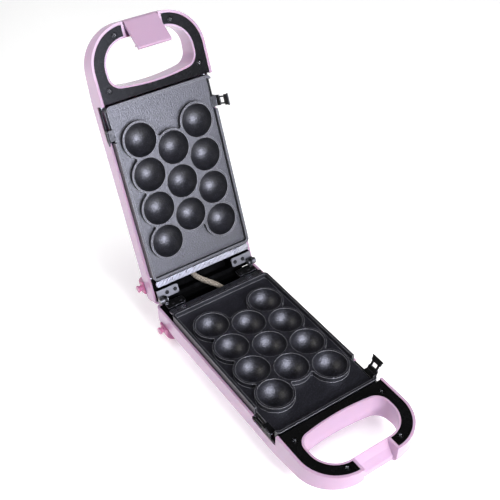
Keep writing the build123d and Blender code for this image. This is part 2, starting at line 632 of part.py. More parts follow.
# --- Heating ---------------------------------------------------------------------------------
def heating_element():
    """U-shaped tube under the cavities with its two cold pins."""
    leg = COLUMN_PITCH
    depth = ELEMENT_DEPTH
    path = Polyline(place(leg, ELEMENT_START, depth), place(leg, ELEMENT_TURN, depth))
    path += ThreePointArc(place(leg, ELEMENT_TURN, depth), place(0, ELEMENT_TURN + leg, depth),
                          place(-leg, ELEMENT_TURN, depth))
    path += Polyline(place(-leg, ELEMENT_TURN, depth), place(-leg, ELEMENT_START, depth))
    start = Plane(origin=place(leg, ELEMENT_START, depth), z_dir=(0, -1, 0))
    tube = sweep(start * Circle(ELEMENT_DIAMETER / 2), path=path)
    for x in (-leg, leg):
        tube += reach_rod(COLD_PIN_RADIUS, x, ELEMENT_START - COLD_PIN_LENGTH,
                          ELEMENT_START + 1, depth)
    return tube


def heater_tray():
    """Pressed reflector that carries the plate and holds the element up under it."""
    middle = (TRAY_START + TRAY_END) / 2
    length = TRAY_END - TRAY_START
    flange_start = PLATE_START + SEAT_GAP
    flange_end = PLATE_END - SEAT_GAP
    tray = block(FLANGE_HALF_WIDTH, flange_start, flange_end,
                 PLATE_SKIRT_DEPTH, PLATE_SKIRT_DEPTH + TRAY_SHEET)
    for side in (-1, 1):
        tray -= span_block(side * (PLATE_WIDTH / 2 - PLATE_NOTCH_DEPTH), side * HALF_WIDTH,
                           *PLATE_NOTCH_SPAN, 0, TRAY_DEPTH)
    tray += block(TRAY_HALF_WIDTH, TRAY_START, TRAY_END, PLATE_SKIRT_DEPTH, TRAY_DEPTH)
    tray -= Pos(place(0, middle, tray_screw_seat())) * extrude(
        RectangleRounded(2 * (TRAY_HALF_WIDTH - TRAY_SHEET), length - 2 * TRAY_SHEET,
                         TRAY_CORNER),
        TRAY_DEPTH)
    for x in (-COLUMN_PITCH, COLUMN_PITCH):
        for reach in SADDLE_ROWS:
            tray += block(SADDLE_HALF_WIDTH, reach - SADDLE_HALF_LENGTH,
                          reach + SADDLE_HALF_LENGTH, SADDLE_DEPTH, TRAY_DEPTH, x)
    for x, reach in tray_screw_places():
        tray -= screw_shank(x, reach, tray_screw_seat() - 1, SEAT_GAP)
    for x in (-COLUMN_PITCH, COLUMN_PITCH):
        tray -= reach_rod(COLD_PIN_HOLE_RADIUS, x, TRAY_START - 1, TRAY_START + TRAY_SHEET + 1,
                          ELEMENT_DEPTH)
    return tray


def tray_screws():
    return group([screw(x, reach, tray_screw_seat()) for x, reach in tray_screw_places()])


# --- Hinge end -------------------------------------------------------------------------------
def hinge_block(is_lid):
    """Heat-resistant block that carries the hinge leaf and the retaining bar."""
    half = FLANGE_HALF_WIDTH
    start = -END_OFFSET + CASING_WALL + SEAT_GAP
    shape = block(half, start, BLOCK_END, BLOCK_TOP_DEPTH, BLOCK_BOTTOM_DEPTH)
    uprights = shape.edges().filter_by(Axis.Z).group_by(Axis.Y)[-1]
    shape = fillet(uprights, END_CORNER_RADIUS - CASING_WALL)
    shape += block(BLOCK_CAP_HALF_WIDTH, -END_OFFSET, start + BLOCK_WALL,
                   RIM_DEPTH, RIM_DEPTH + BLOCK_CAP_THICKNESS)
    shape -= block(BLOCK_TROUGH_HALF_WIDTH, start + BLOCK_WALL, BLOCK_TROUGH_END,
                   0, BLOCK_TROUGH_DEPTH)
    for side in (-1, 1):
        shape += span_block(side * LEAF_INNER_X, side * leaf_outer_x(is_lid), 0, LEAF_WIDTH,
                            LEAF_DEPTH + LEAF_SHEET, BLOCK_TOP_DEPTH + 1)
        shape += block(BAR_WIDTH, BAR_START, BAR_START + BAR_WIDTH,
                       BAR_TOP_DEPTH + BAR_SHEET, BLOCK_TOP_DEPTH + 1, side * BAR_SCREW_X)
        shape -= bar_screw_shank(side, RUNNING_GAP)
        for x in RIVET_PLACES:
            shape -= rivet_shank(side * x, RUNNING_GAP)
    channel = LEAD_DIAMETER / 2 + 2 * SEAT_GAP
    channel_x = -LEAD_CHANNEL_X if is_lid else LEAD_CHANNEL_X
    return shape - block(channel, BLOCK_TROUGH_END - 1, BLOCK_END + 1, 0,
                         LEAD_CHANNEL_DEPTH + channel, channel_x)


def retaining_bar():
    """Folded steel strip that keeps the plate's tongues down."""
    bar = block(BAR_HALF_LENGTH, BAR_START, BAR_START + BAR_WIDTH,
                BAR_TOP_DEPTH, BAR_TOP_DEPTH + BAR_SHEET)
    bar = fillet(bar.edges().filter_by(Axis.Z), BAR_WIDTH / 3)
    lip = block(BAR_HALF_LENGTH - BAR_WIDTH / 2, BAR_START + BAR_WIDTH - BAR_SHEET,
                BAR_START + BAR_WIDTH, BAR_TOP_DEPTH, BAR_LIP_DEPTH)
    lip -= block(BAR_SCREW_X + BAR_WIDTH + SEAT_GAP, BAR_START, BAR_START + BAR_WIDTH,
                 BAR_TOP_DEPTH + BAR_SHEET, BAR_LIP_DEPTH + 1)
    lip += block(BAR_SCREW_X - BAR_WIDTH - SEAT_GAP, BAR_START + BAR_WIDTH - BAR_SHEET,
                 BAR_START + BAR_WIDTH, BAR_TOP_DEPTH, BAR_LIP_DEPTH)
    bar += lip
    for side in (-1, 1):
        bar -= bar_screw_shank(side, SEAT_GAP)
    return bar


def bar_screw_shank(side, gap=0.0):
    return screw_shank(side * BAR_SCREW_X, BAR_START + BAR_WIDTH / 2, BAR_TOP_DEPTH, gap)


def bar_screws():
    reach = BAR_START + BAR_WIDTH / 2
    return group([screw(side * BAR_SCREW_X, reach, BAR_TOP_DEPTH) for side in (-1, 1)])


def knuckle_inner_x(is_lid):
    """Side offset where a half's knuckles start; the lid's stand outside the base's."""
    return KNUCKLE_INNER_X + (KNUCKLE_LENGTH + KNUCKLE_GAP if is_lid else 0)


def leaf_outer_x(is_lid):
    return knuckle_inner_x(is_lid) + KNUCKLE_LENGTH


def hinge_leaf(is_lid):
    """Leaf on its pad, rolled into a knuckle about the hinge axis at its outer end."""
    outer_x = leaf_outer_x(is_lid)
    bottom = LEAF_DEPTH + LEAF_SHEET
    leaf = span_block(LEAF_INNER_X, outer_x, 0, LEAF_WIDTH, LEAF_DEPTH, bottom)
    corner = leaf.edges().filter_by(Axis.Z).group_by(Axis.X)[0]
    leaf = fillet(corner, LEAF_WIDTH / 4)
    leaf += cross_rod(KNUCKLE_RADIUS, knuckle_inner_x(is_lid), outer_x, 0, 0)
    leaf += span_block(knuckle_inner_x(is_lid), outer_x, 0, KNUCKLE_RADIUS,
                       HINGE_PIN_RADIUS, bottom)
    leaf -= cross_rod(HINGE_PIN_RADIUS + RUNNING_GAP, LEAF_INNER_X, HALF_WIDTH, 0, 0)
    for x in RIVET_PLACES:
        leaf -= rivet_shank(x, RUNNING_GAP)
    return leaf


def hinge_leaves(is_lid):
    """The pair of leaves of one half."""
    return group(both_sides(hinge_leaf(is_lid)))


def hinge_pins():
    """Headed pins through the knuckles of both halves."""
    inner = KNUCKLE_INNER_X
    outer = leaf_outer_x(True)
    pin = cross_rod(HINGE_PIN_RADIUS, inner - HINGE_PIN_HEAD, outer + SEAT_GAP, 0, 0)
    pin += cross_rod(HINGE_PIN_RADIUS + HINGE_PIN_HEAD, inner - HINGE_PIN_HEAD - RUNNING_GAP,
                     inner - RUNNING_GAP, 0, 0)
    pin += cross_rod(HINGE_PIN_RADIUS + HINGE_PIN_HEAD, outer + SEAT_GAP,
                     outer + SEAT_GAP + HINGE_PIN_HEAD, 0, 0)
    return group(both_sides(pin))


def rivet_shank(x, gap=0.0):
    return post(RIVET_RADIUS / 2 + gap, x, LEAF_WIDTH / 2, LEAF_DEPTH, LEAF_DEPTH + RIVET_LENGTH)


def hinge_rivets():
    """Domed rivets that hold the leaves to their block."""
    rivets = []
    for x in RIVET_PLACES:
        head = post(RIVET_RADIUS, x, LEAF_WIDTH / 2, LEAF_DEPTH - RIVET_HEIGHT, LEAF_DEPTH)
        head = fillet(head.edges().sort_by(Axis.Z)[-1], RIVET_HEIGHT * 0.8)
        rivets += both_sides(head + rivet_shank(x))
    return group(rivets)


def lead_path():
    """Route of the sleeved lead from the base's block to the lid's, crossing the hinge."""
    base_side = [place(*point) for point in LEAD_HALF_ROUTE]
    lid_side = [swing_lid(Vertex(-point.X, point.Y, point.Z)).center() for point in base_side]
    return base_side + lid_side[::-1]


def lead_sleeve():
    """Braided sleeve over the wires that pass from one half to the other."""
    points = lead_path()
    radii = []
    for before, corner, after in zip(points, points[1:], points[2:]):
        arriving, leaving = corner - before, after - corner
        turn = math.radians(arriving.get_angle(leaving))
        radii.append(0.45 * min(arriving.length, leaving.length) / math.tan(turn / 2))
    path = FilletPolyline(*points, radius=radii)
    start = Plane(origin=points[0], z_dir=points[1] - points[0])
    return sweep(start * Circle(LEAD_DIAMETER / 2), path=path)


# --- Plate clips -----------------------------------------------------------------------------
def sheet_strip(points, thickness):
    """Bent strip section, seen along the reach, from (x, depth) centreline points."""
    line = Polyline(*[Vector(x, -depth) for x, depth in points])
    return trace(line, thickness)


def plate_clip(span, side):
    """Spring clip on a pin beside the plate: barrel, hook over the plate and finger tab."""
    start, end = span
    web_x = CLIP_AXIS_X + CLIP_BARREL_RADIUS - CLIP_SHEET / 2
    hook_depth = PLATE_FACE_DEPTH - SEAT_GAP - CLIP_SHEET / 2
    section = sheet_strip([(web_x, CLIP_AXIS_DEPTH), (web_x, hook_depth),
                           (CLIP_HOOK_TIP_X, hook_depth)], CLIP_SHEET)
    section += sheet_strip([(web_x, hook_depth), (CLIP_TAB_REACH_X, -CLIP_TAB_RISE)], CLIP_SHEET)
    section += Pos(CLIP_AXIS_X, -CLIP_AXIS_DEPTH) * Circle(CLIP_BARREL_RADIUS)
    section -= Pos(CLIP_AXIS_X, -CLIP_AXIS_DEPTH) * Circle(CLIP_PIN_RADIUS + RUNNING_GAP)
    clip = Pos(place(0, start)) * extrude(Plane.XZ * section, end - start)
    slot_length, slot_height = CLIP_SLOT
    waist, waist_height = CLIP_WAIST
    tab_x = (web_x + CLIP_TAB_REACH_X) / 2
    tab_height = CLIP_TAB_RISE + hook_depth
    tab_middle = (hook_depth - CLIP_TAB_RISE) / 2
    clip -= block(tab_height, (start + end - slot_length) / 2, (start + end + slot_length) / 2,
                  tab_middle - slot_height / 2, tab_middle + slot_height / 2, tab_x)
    for edge in (start, end):
        clip -= block(tab_height, edge - waist, edge + waist, tab_middle - waist_height / 2,
                      tab_middle + waist_height / 2, tab_x)
    clip += reach_rod(CLIP_LIP_RADIUS, CLIP_TAB_REACH_X, start - CLIP_LIP_OVERHANG,
                      end + CLIP_LIP_OVERHANG, -CLIP_TAB_RISE)
    return clip if side > 0 else clip.mirror(Plane.YZ)


def clip_pins():
    """Pins of the two clips of one half."""
    return group([reach_rod(CLIP_PIN_RADIUS, side * CLIP_AXIS_X, *clip_pin_span(),
                            CLIP_AXIS_DEPTH) for side in (-1, 1)])


# --- Outer face ------------------------------------------------------------------------------
def foot_bar():
    """Bar across the hinge end with a cord-wrap knob at each end."""
    height = FOOT_DEPTH
    section = fillet(Rectangle(2 * FOOT_BAR_HALF_LENGTH, 2 * height).vertices(), FOOT_BAR_RADIUS)
    section -= fillet(Rectangle(2 * HALF_WIDTH, 2 * BODY_DEPTH).vertices(), LONG_EDGE_RADIUS)
    bar = Pos(place(0, FOOT_BAR_START)) * extrude(Plane.XZ * section, FOOT_BAR_WIDTH)
    bar -= block(HALF_WIDTH * 2, -END_OFFSET, SLOPE_START, -HALF_WIDTH, FOOT_BAR_RISE)
    long_edges = [edge for edge in bar.edges().filter_by(Axis.X)
                  if edge.center().Z < -BODY_DEPTH - 1]
    bar = fillet(long_edges, 1.5)
    reach = FOOT_BAR_START + FOOT_BAR_WIDTH / 2
    for side in (-1, 1):
        root = side * (FOOT_BAR_HALF_LENGTH - 1)
        neck = side * (FOOT_BAR_HALF_LENGTH + KNOB_LENGTH)
        tip = side * (FOOT_BAR_HALF_LENGTH + KNOB_LENGTH + KNOB_HEAD_LENGTH)
        bar += cross_rod(KNOB_RADIUS, root, neck, reach, KNOB_DEPTH)
        bar += cross_rod(KNOB_HEAD_RADIUS, neck, tip, reach, KNOB_DEPTH)
    bar -= post(SCREW_HEAD_RADIUS + SEAT_GAP, 0, foot_screw_reach(), foot_screw_seat(),
                FOOT_DEPTH + 1)
    return bar - foot_screw_shank(SEAT_GAP)


def foot_screw_reach():
    return FOOT_BAR_START + FOOT_BAR_WIDTH / 2


def foot_screw_seat():
    return FOOT_DEPTH - 1.5 * SCREW_HEAD_HEIGHT


def foot_screw_shank(gap=0.0):
    return screw_shank(0, foot_screw_reach(), -foot_screw_seat(), gap).mirror(Plane.XY)


def foot_screw():
    """Screw of the foot bar, with its head on the outer face."""
    return screw(0, foot_screw_reach(), -foot_screw_seat()).mirror(Plane.XY)


def front_feet():
    """Rubber feet that level the base with its foot bar."""
    feet = []
    for side in (-1, 1):
        foot = post(FOOT_RADIUS, side * FOOT_X, FOOT_REACH, BODY_DEPTH, FOOT_DEPTH)
        feet.append(fillet(foot.edges().sort_by(Axis.Z)[0], 1.0))
    return group(feet)


def indicator_bezel():
    """Raised ring round the lamp window."""
    ring = post(LENS_RADIUS + BEZEL_WIDTH, 0, LENS_REACH, BODY_DEPTH, BODY_DEPTH + BEZEL_RISE)
    ring = fillet(ring.edges().sort_by(Axis.Z)[0], BEZEL_RISE * 0.6)
    return ring - post(LENS_RADIUS, 0, LENS_REACH, BODY_DEPTH - 1, BODY_DEPTH + 2 * BEZEL_RISE)


def indicator_lens():
    """Dark window, slightly domed, with a socket for the lamp behind it."""
    radius = LENS_RADIUS - SEAT_GAP / 2
    lens = post(radius, 0, LENS_REACH, FLOOR_DEPTH, BODY_DEPTH + LENS_RISE)
    lens = fillet(lens.edges().sort_by(Axis.Z)[0], LENS_RISE * 0.7)
    flange_width, flange_thickness = LENS_FLANGE
    flange = post(radius + flange_width, 0, LENS_REACH,
                  FLOOR_DEPTH - flange_thickness, FLOOR_DEPTH)
    socket_top = FLOOR_DEPTH - LENS_SOCKET_HEIGHT
    socket = post(LAMP_RADIUS + LENS_SOCKET_WALL, 0, LENS_REACH, socket_top, FLOOR_DEPTH)
    bore = post(LAMP_RADIUS + RUNNING_GAP, 0, LENS_REACH, socket_top - 1, FLOOR_DEPTH)
    return lens + flange + socket - bore


def indicator_lamp():
    """Neon lamp behind the window."""
    return post(LAMP_RADIUS, 0, LENS_REACH, FLOOR_DEPTH - LAMP_LENGTH, FLOOR_DEPTH - SEAT_GAP)


def cord_gland():
    """Flanged bush where a supply cord would enter the base."""
    outer = BODY_DEPTH + GLAND_FLANGE_HEIGHT
    gland = post(GLAND_FLANGE_RADIUS, 0, GLAND_REACH, BODY_DEPTH, outer)
    gland = fillet(gland.edges().sort_by(Axis.Z)[0], GLAND_FLANGE_HEIGHT / 2)
    gland += post(GLAND_RADIUS - SEAT_GAP, 0, GLAND_REACH, outer - GLAND_LENGTH, BODY_DEPTH)
    return gland - post(GLAND_BORE_RADIUS, 0, GLAND_REACH, outer - GLAND_LENGTH - 1, outer + 1)


# --- Inside ----------------------------------------------------------------------------------
def sensor_bracket(top):
    """Bent strap that stands on the tray and holds a sensor up against the plate."""
    strap = block(BRACKET_WIDTH, THERMOSTAT_REACH - BRACKET_WIDTH / 2,
                  THERMOSTAT_REACH + BRACKET_WIDTH / 2, top, tray_screw_seat())
    return strap - block(BRACKET_WIDTH - TRAY_SHEET, THERMOSTAT_REACH - BRACKET_WIDTH,
                         THERMOSTAT_REACH + BRACKET_WIDTH, top + TRAY_SHEET, TRAY_DEPTH)


def thermostat():
    """Snap-disc thermostat pressed to the underside of the base's plate."""
    under_face = PLATE_FACE_DEPTH + PLATE_WALL
    bottom = under_face + THERMOSTAT_HEIGHT
    cup = post(THERMOSTAT_RADIUS, 0, THERMOSTAT_REACH, under_face, bottom)
    return cup + sensor_bracket(bottom)


def thermal_fuse():
    """Thermal fuse in its clamp, under the lid's plate."""
    depth = PLATE_FACE_DEPTH + PLATE_WALL + FUSE_RADIUS + SEAT_GAP
    body = cross_rod(FUSE_RADIUS, -FUSE_LENGTH / 2, FUSE_LENGTH / 2, THERMOSTAT_REACH, depth)
    return body + sensor_bracket(depth + FUSE_RADIUS / 2)


def terminal_block():
    """Row of screw terminals on the floor of the base."""
    width, length, height = TERMINAL_SIZE
    shape = block(width / 2, TERMINAL_REACH - length / 2, TERMINAL_REACH + length / 2,
                  FLOOR_DEPTH - height, FLOOR_DEPTH)
    pitch = width / TERMINAL_COUNT
    for index in range(TERMINAL_COUNT):
        x = (index - (TERMINAL_COUNT - 1) / 2) * pitch
        shape -= post(pitch / 4, x, TERMINAL_REACH, FLOOR_DEPTH - height - 1,
                      FLOOR_DEPTH - height / 2)
    return shape


# --- Latch -----------------------------------------------------------------------------------
def latch_point(out, along):
    """A point of the closed latch: out from its axis, and along its blade."""
    return place(0, LATCH_AXIS_REACH + out, LATCH_AXIS_DEPTH - along)


def latch():
    """Full-width barrel, curved blade and the tooth that hooks over the base's handle."""
    inner = LATCH_BARREL_RADIUS - LATCH_BLADE_THICKNESS
    tip = LATCH_BLADE_LENGTH
    tooth_start = LATCH_AXIS_DEPTH + HANDLE_DEPTH + LATCH_TOOTH_GAP
    tooth_tip = LATCH_AXIS_FROM_END - RAMP_STEPS[-1][0] - LATCH_TOOTH_BITE
    outline = make_face(Polyline(
        latch_point(inner, 0), latch_point(inner, tooth_start),
        latch_point(tooth_tip, tooth_start), latch_point(tooth_tip, tooth_start + LATCH_TOOTH_EDGE),
        latch_point(inner, tooth_start + LATCH_TOOTH_THICKNESS), latch_point(inner, tip),
        latch_point(LATCH_BARREL_RADIUS, tip), latch_point(LATCH_BARREL_RADIUS, 0), close=True))
    blade = extrude(outline, LATCH_WIDTH / 2, dir=(1, 0, 0), both=True)
    tip_edge = blade.edges().filter_by(Axis.X).sort_by_distance(
        latch_point(LATCH_BARREL_RADIUS, tip))[0]
    blade = fillet(tip_edge, LATCH_BLADE_THICKNESS * 0.6)
    barrel = cross_rod(LATCH_BARREL_RADIUS, -LATCH_WIDTH / 2, LATCH_WIDTH / 2,
                       LATCH_AXIS_REACH, LATCH_AXIS_DEPTH)
    bore = cross_rod(LATCH_PIN_RADIUS + RUNNING_GAP, -LATCH_WIDTH, LATCH_WIDTH,
                     LATCH_AXIS_REACH, LATCH_AXIS_DEPTH)
    return blade + barrel - bore


def latch_pin():
    """Pin across the latch notch, with its ends in the lid's cheeks."""
    half = NOTCH_HALF_WIDTH + LATCH_CHEEK - 2 * PARTING_GAP
    return cross_rod(LATCH_PIN_RADIUS, -half, half, LATCH_AXIS_REACH, LATCH_AXIS_DEPTH)


def drop_latch(shape):
    """Turns the closed latch about its pin to where it hangs while the lid is open."""
    axis = place(0, LATCH_AXIS_REACH, LATCH_AXIS_DEPTH)
    return Pos(axis) * Rot(X=-LATCH_DROP_ANGLE) * Pos(-axis) * shape


# --- Assembly --------------------------------------------------------------------------------
def half_parts(is_lid):
    """The pieces that both halves have, in the closed position of the base."""
    span = LID_CLIP_SPAN if is_lid else BASE_CLIP_SPAN
    return {
        "casing": casing(is_lid),
        "handle_trim": handle_trim(),
        "trim_screws": trim_screws(),
        "plate": cavity_plate(),
        "heater_tray": heater_tray(),
        "tray_screws": tray_screws(),
        "heating_element": heating_element(),
        "hinge_block": hinge_block(is_lid),
        "hinge_leaves": hinge_leaves(is_lid),
        "hinge_rivets": hinge_rivets(),
        "retaining_bar": retaining_bar(),
        "bar_screws": bar_screws(),
        "clip_pins": clip_pins(),
        "clip_right": plate_clip(span, 1),
        "clip_left": plate_clip(span, -1),
        "foot_bar": foot_bar(),
        "foot_screw": foot_screw(),
    }


def assembly():
    """Every piece by name, with the lid open and the hinge axis on the X axis."""
    parts = {f"base_{name}": shape for name, shape in half_parts(False).items()}
    parts |= {
        "base_hinge_pins": hinge_pins(),
        "base_front_feet": front_feet(),
        "cord_gland": cord_gland(),
        "thermostat": thermostat(),
        "terminal_block": terminal_block(),
        "lead_sleeve": lead_sleeve(),
    }
    lid = {f"lid_{name}": shape for name, shape in half_parts(True).items()}
    lid |= {
        "indicator_bezel": indicator_bezel(),
        "indicator_lens": indicator_lens(),
        "indicator_lamp": indicator_lamp(),
        "thermal_fuse": thermal_fuse(),
        "latch": drop_latch(latch()),
        "latch_pin": latch_pin(),
    }
    parts |= {name: swing_lid(shape) for name, shape in lid.items()}
    return parts


def stand_on_floor(parts):
    """Shift that puts the origin under the middle of the open maker, on its resting plane."""
    boxes = [shape.bounding_box() for shape in parts.values()]
    front = min(box.min.Y for box in boxes)
    back = max(box.max.Y for box in boxes)
    return Vector(0, -(front + back) / 2, FOOT_DEPTH)


def main():
    os.makedirs("parts", exist_ok=True)
    parts = assembly()
    shift = stand_on_floor(parts)
    print("hinge axis at", shift)
    for name, shape in parts.items():
        export_step(Pos(shift) * shape, f"parts/{name}.step")


main()
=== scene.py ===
import bpy
import bmesh
import json
import math
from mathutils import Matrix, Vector


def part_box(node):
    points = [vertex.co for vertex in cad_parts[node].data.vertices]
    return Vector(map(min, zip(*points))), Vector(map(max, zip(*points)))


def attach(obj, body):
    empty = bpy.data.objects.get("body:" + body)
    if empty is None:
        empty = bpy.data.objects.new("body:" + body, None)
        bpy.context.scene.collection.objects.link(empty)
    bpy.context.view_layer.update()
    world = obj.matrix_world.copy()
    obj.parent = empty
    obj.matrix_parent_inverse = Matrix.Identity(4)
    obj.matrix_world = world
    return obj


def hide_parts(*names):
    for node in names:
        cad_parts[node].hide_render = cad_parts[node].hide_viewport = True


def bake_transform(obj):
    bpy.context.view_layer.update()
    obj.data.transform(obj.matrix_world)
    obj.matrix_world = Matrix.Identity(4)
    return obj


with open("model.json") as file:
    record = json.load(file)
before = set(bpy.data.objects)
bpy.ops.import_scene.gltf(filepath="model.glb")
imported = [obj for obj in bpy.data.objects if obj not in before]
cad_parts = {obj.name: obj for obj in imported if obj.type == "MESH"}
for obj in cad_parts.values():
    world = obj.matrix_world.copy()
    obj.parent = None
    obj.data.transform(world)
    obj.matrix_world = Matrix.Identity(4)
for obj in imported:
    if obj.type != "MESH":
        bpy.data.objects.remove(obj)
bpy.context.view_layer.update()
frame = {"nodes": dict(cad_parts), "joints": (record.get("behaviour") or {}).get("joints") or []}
nodes = frame["nodes"]
scene = bpy.context.scene

MM = 0.001                          # a millimetre in metres, as all lengths are
HINGE = Vector(frame["joints"][0]["pos_m"])     # a point of the hinge axis


# --- Making objects --------------------------------------------------------------------------
def place_object(name, data):
    """Links a new object that holds this data into the scene."""
    made = bpy.data.objects.new(name, data)
    scene.collection.objects.link(made)
    return made


def mesh_object(name, shape, material):
    """Turns a finished bmesh into an object of one material."""
    mesh = bpy.data.meshes.new(name)
    shape.to_mesh(mesh)
    shape.free()
    mesh.materials.append(material)
    return place_object(name, mesh)


def skin(shape, loops):
    """Joins a row of equal loops of vertices by faces and caps both of its ends."""
    for near, far in zip(loops, loops[1:]):
        for index in range(len(near)):
            following = (index + 1) % len(near)
            shape.faces.new((near[index], near[following], far[following], far[index]))
    shape.faces.new(reversed(loops[0]))
    shape.faces.new(loops[-1])
    bmesh.ops.recalc_face_normals(shape, faces=shape.faces)


# --- Camera ----------------------------------------------------------------------------------
# Its place is counted from the hinge axis.
CAMERA_FROM_HINGE = Vector((-384.31, -644.89, 673.63)) * MM
CAMERA_TURN = 34.46                 # degrees to the right of straight ahead
CAMERA_TILT = 39.98                 # degrees down
CAMERA_LENS_MM = 62.68
CAMERA_SENSOR_MM = 36.0
CAMERA_NEAREST = 0.01               # what it still sees, near and far
CAMERA_FARTHEST = 100.0


def add_camera():
    """The scene's camera, which sees the open halves from the front left and above."""
    data = bpy.data.cameras.new("camera")
    data.lens = CAMERA_LENS_MM
    data.sensor_width = CAMERA_SENSOR_MM
    data.clip_start = CAMERA_NEAREST
    data.clip_end = CAMERA_FARTHEST
    camera = place_object("camera", data)
    camera.location = HINGE + CAMERA_FROM_HINGE
    camera.rotation_euler = (math.radians(90 - CAMERA_TILT), 0, math.radians(-CAMERA_TURN))
    scene.camera = camera


add_camera()


# --- Material tools --------------------------------------------------------------------------
BEVEL_SAMPLES = 6
MASK_EDGE = 0.1 * MM                # the width over which a mask fades out
MIX_INPUTS = (0, 6, 7)              # the Mix node's sockets for the factor and two colours
MIX_OUTPUT = 2                      # and for the mixed colour
WAVE_TURN = 20                      # radians to the metre in a Wave texture of scale 1


def srgb(red, green, blue):
    """A colour given in 0-255 screen values, as Blender's linear values."""
    def linear(value):
        value /= 255
        return value / 12.92 if value <= 0.04045 else ((value + 0.055) / 1.055) ** 2.4
    return (linear(red), linear(green), linear(blue), 1.0)


def grey(level, blue=1.0):
    """A grey of this linear level, whose blue is multiplied to make it cooler."""
    return (level, level, level * blue, 1)


class Shader:
    """Builds one material's node tree round a Principled shader."""

    def __init__(self, name, colour, roughness, **values):
        """The values are of other sockets of the shader, with _ for each space in a name."""
        self.material = bpy.data.materials.new(name)
        self.material.use_nodes = True
        self.tree = self.material.node_tree
        self.shader = self.tree.nodes["Principled BSDF"]
        self.shader.inputs["Base Color"].default_value = colour
        self.shader.inputs["Roughness"].default_value = roughness
        for key, value in values.items():
            self.shader.inputs[key.replace("_", " ")].default_value = value
        self.place = self.tree.nodes.new("ShaderNodeTexCoord").outputs["Object"]
        self.normal = None

    def link(self, start, end):
        self.tree.links.new(start, end)

    def node(self, kind, **settings):
        made = self.tree.nodes.new(kind)
        for key, value in settings.items():
            setattr(made, key, value)
        return made

    def noise(self, scale, detail=2.0, roughness=0.5):
        made = self.node("ShaderNodeTexNoise")
        made.inputs["Scale"].default_value = scale
        made.inputs["Detail"].default_value = detail
        made.inputs["Roughness"].default_value = roughness
        self.link(self.place, made.inputs["Vector"])
        return made.outputs["Fac"]

    def ramp(self, source, low, high, at=(0.35, 0.65)):
        """Maps a value to a range between two colours or two numbers."""
        made = self.node("ShaderNodeValToRGB")
        for element, position, value in zip(made.color_ramp.elements, at, (low, high)):
            element.position = position
            element.color = value if isinstance(value, tuple) else grey(value)
        self.link(source, made.inputs["Fac"])
        return made.outputs["Color"]

    def mix(self, factor, first, second):
        """Mixes two colours, where each value is a colour or another node's socket."""
        made = self.node("ShaderNodeMix", data_type="RGBA")
        for value, socket in zip((factor, first, second), MIX_INPUTS):
            if isinstance(value, tuple):
                made.inputs[socket].default_value = value
            else:
                self.link(value, made.inputs[socket])
        return made.outputs[MIX_OUTPUT]

    def set(self, name, source):
        self.link(source, self.shader.inputs[name])

    def rounded(self, radius):
        """Edges catch the light as if they had a small radius."""
        made = self.node("ShaderNodeBevel", samples=BEVEL_SAMPLES)
        made.inputs["Radius"].default_value = radius
        self.normal = made.outputs["Normal"]
        self.link(self.normal, self.shader.inputs["Normal"])

    def edges(self, start, end):
        """Mask of the edges, where the normal of rounded() leaves the true one."""
        true = self.node("ShaderNodeNewGeometry").outputs["Normal"]
        dot = self.node("ShaderNodeVectorMath", operation="DOT_PRODUCT")
        self.link(self.normal, dot.inputs[0])
        self.link(true, dot.inputs[1])
        return self.ramp(dot.outputs["Value"], 1.0, 0.0, at=(1.0 - end, 1.0 - start))

    def inside(self, distance, limit):
        """Mask of where a distance is under its limit."""
        return self.ramp(distance, 1.0, 0.0, at=(limit - MASK_EDGE, limit))

    def near_hinge(self, radius, half_width):
        """Mask of what lies round the hinge axis, within a radius and between two sides."""
        round_axis = self.node("ShaderNodeMapping")
        round_axis.inputs["Location"].default_value = (0, -HINGE.y, -HINGE.z)
        round_axis.inputs["Scale"].default_value = (0, 1, 1)
        self.link(self.place, round_axis.inputs["Vector"])
        length = self.node("ShaderNodeVectorMath", operation="LENGTH")
        self.link(round_axis.outputs["Vector"], length.inputs[0])
        parts = self.node("ShaderNodeSeparateXYZ")
        self.link(self.place, parts.inputs["Vector"])
        side = self.node("ShaderNodeMath", operation="ABSOLUTE")
        self.link(parts.outputs["X"], side.inputs[0])
        both = self.node("ShaderNodeMath", operation="MULTIPLY")
        self.link(self.inside(length.outputs["Value"], radius), both.inputs[0])
        self.link(self.inside(side.outputs["Value"], half_width), both.inputs[1])
        return both.outputs["Value"]

    def ribs(self, pitch):
        """Fine ribs across X, one each pitch."""
        made = self.node("ShaderNodeTexWave", bands_direction="X")
        made.inputs["Scale"].default_value = math.tau / (WAVE_TURN * pitch)
        self.link(self.place, made.inputs["Vector"])
        return made.outputs["Fac"]

    def bump(self, source, strength, height):
        """Raises the surface by the source, on top of any rounded() before it."""
        made = self.node("ShaderNodeBump")
        made.inputs["Strength"].default_value = strength
        made.inputs["Distance"].default_value = height
        self.link(source, made.inputs["Height"])
        if self.normal:
            self.link(self.normal, made.inputs["Normal"])
        self.normal = made.outputs["Normal"]
        self.link(self.normal, self.shader.inputs["Normal"])


# --- Materials -------------------------------------------------------------------------------
# The radii that edges seem to have.
CASING_EDGE = 0.6 * MM
TRIM_EDGE = 0.4 * MM
PLATE_EDGE = 0.8 * MM
CLIP_EDGE = 0.5 * MM
SHEET_EDGE = 0.3 * MM

# The heights of bumps.
FINE_GRAIN = 0.1 * MM
CASING_GRAIN = 0.2 * MM
PLATE_GRAIN = 0.45 * MM
RIB_HEIGHT = 0.2 * MM

RIB_PITCH = 1.7 * MM
GAP_RADIUS = 6.4 * MM               # reach of the shade painted black into the gap between the halves at the hinge
GAP_HALF_WIDTH = 63.5 * MM

LILAC = srgb(192, 161, 189)
LILAC_DARK = srgb(186, 154, 183)
PINK = srgb(190, 116, 156)
PINK_DARK = srgb(183, 108, 149)
# painted shade for the gap between the halves at the hinge
GAP_PAINTED_SHADE = grey(0.002)

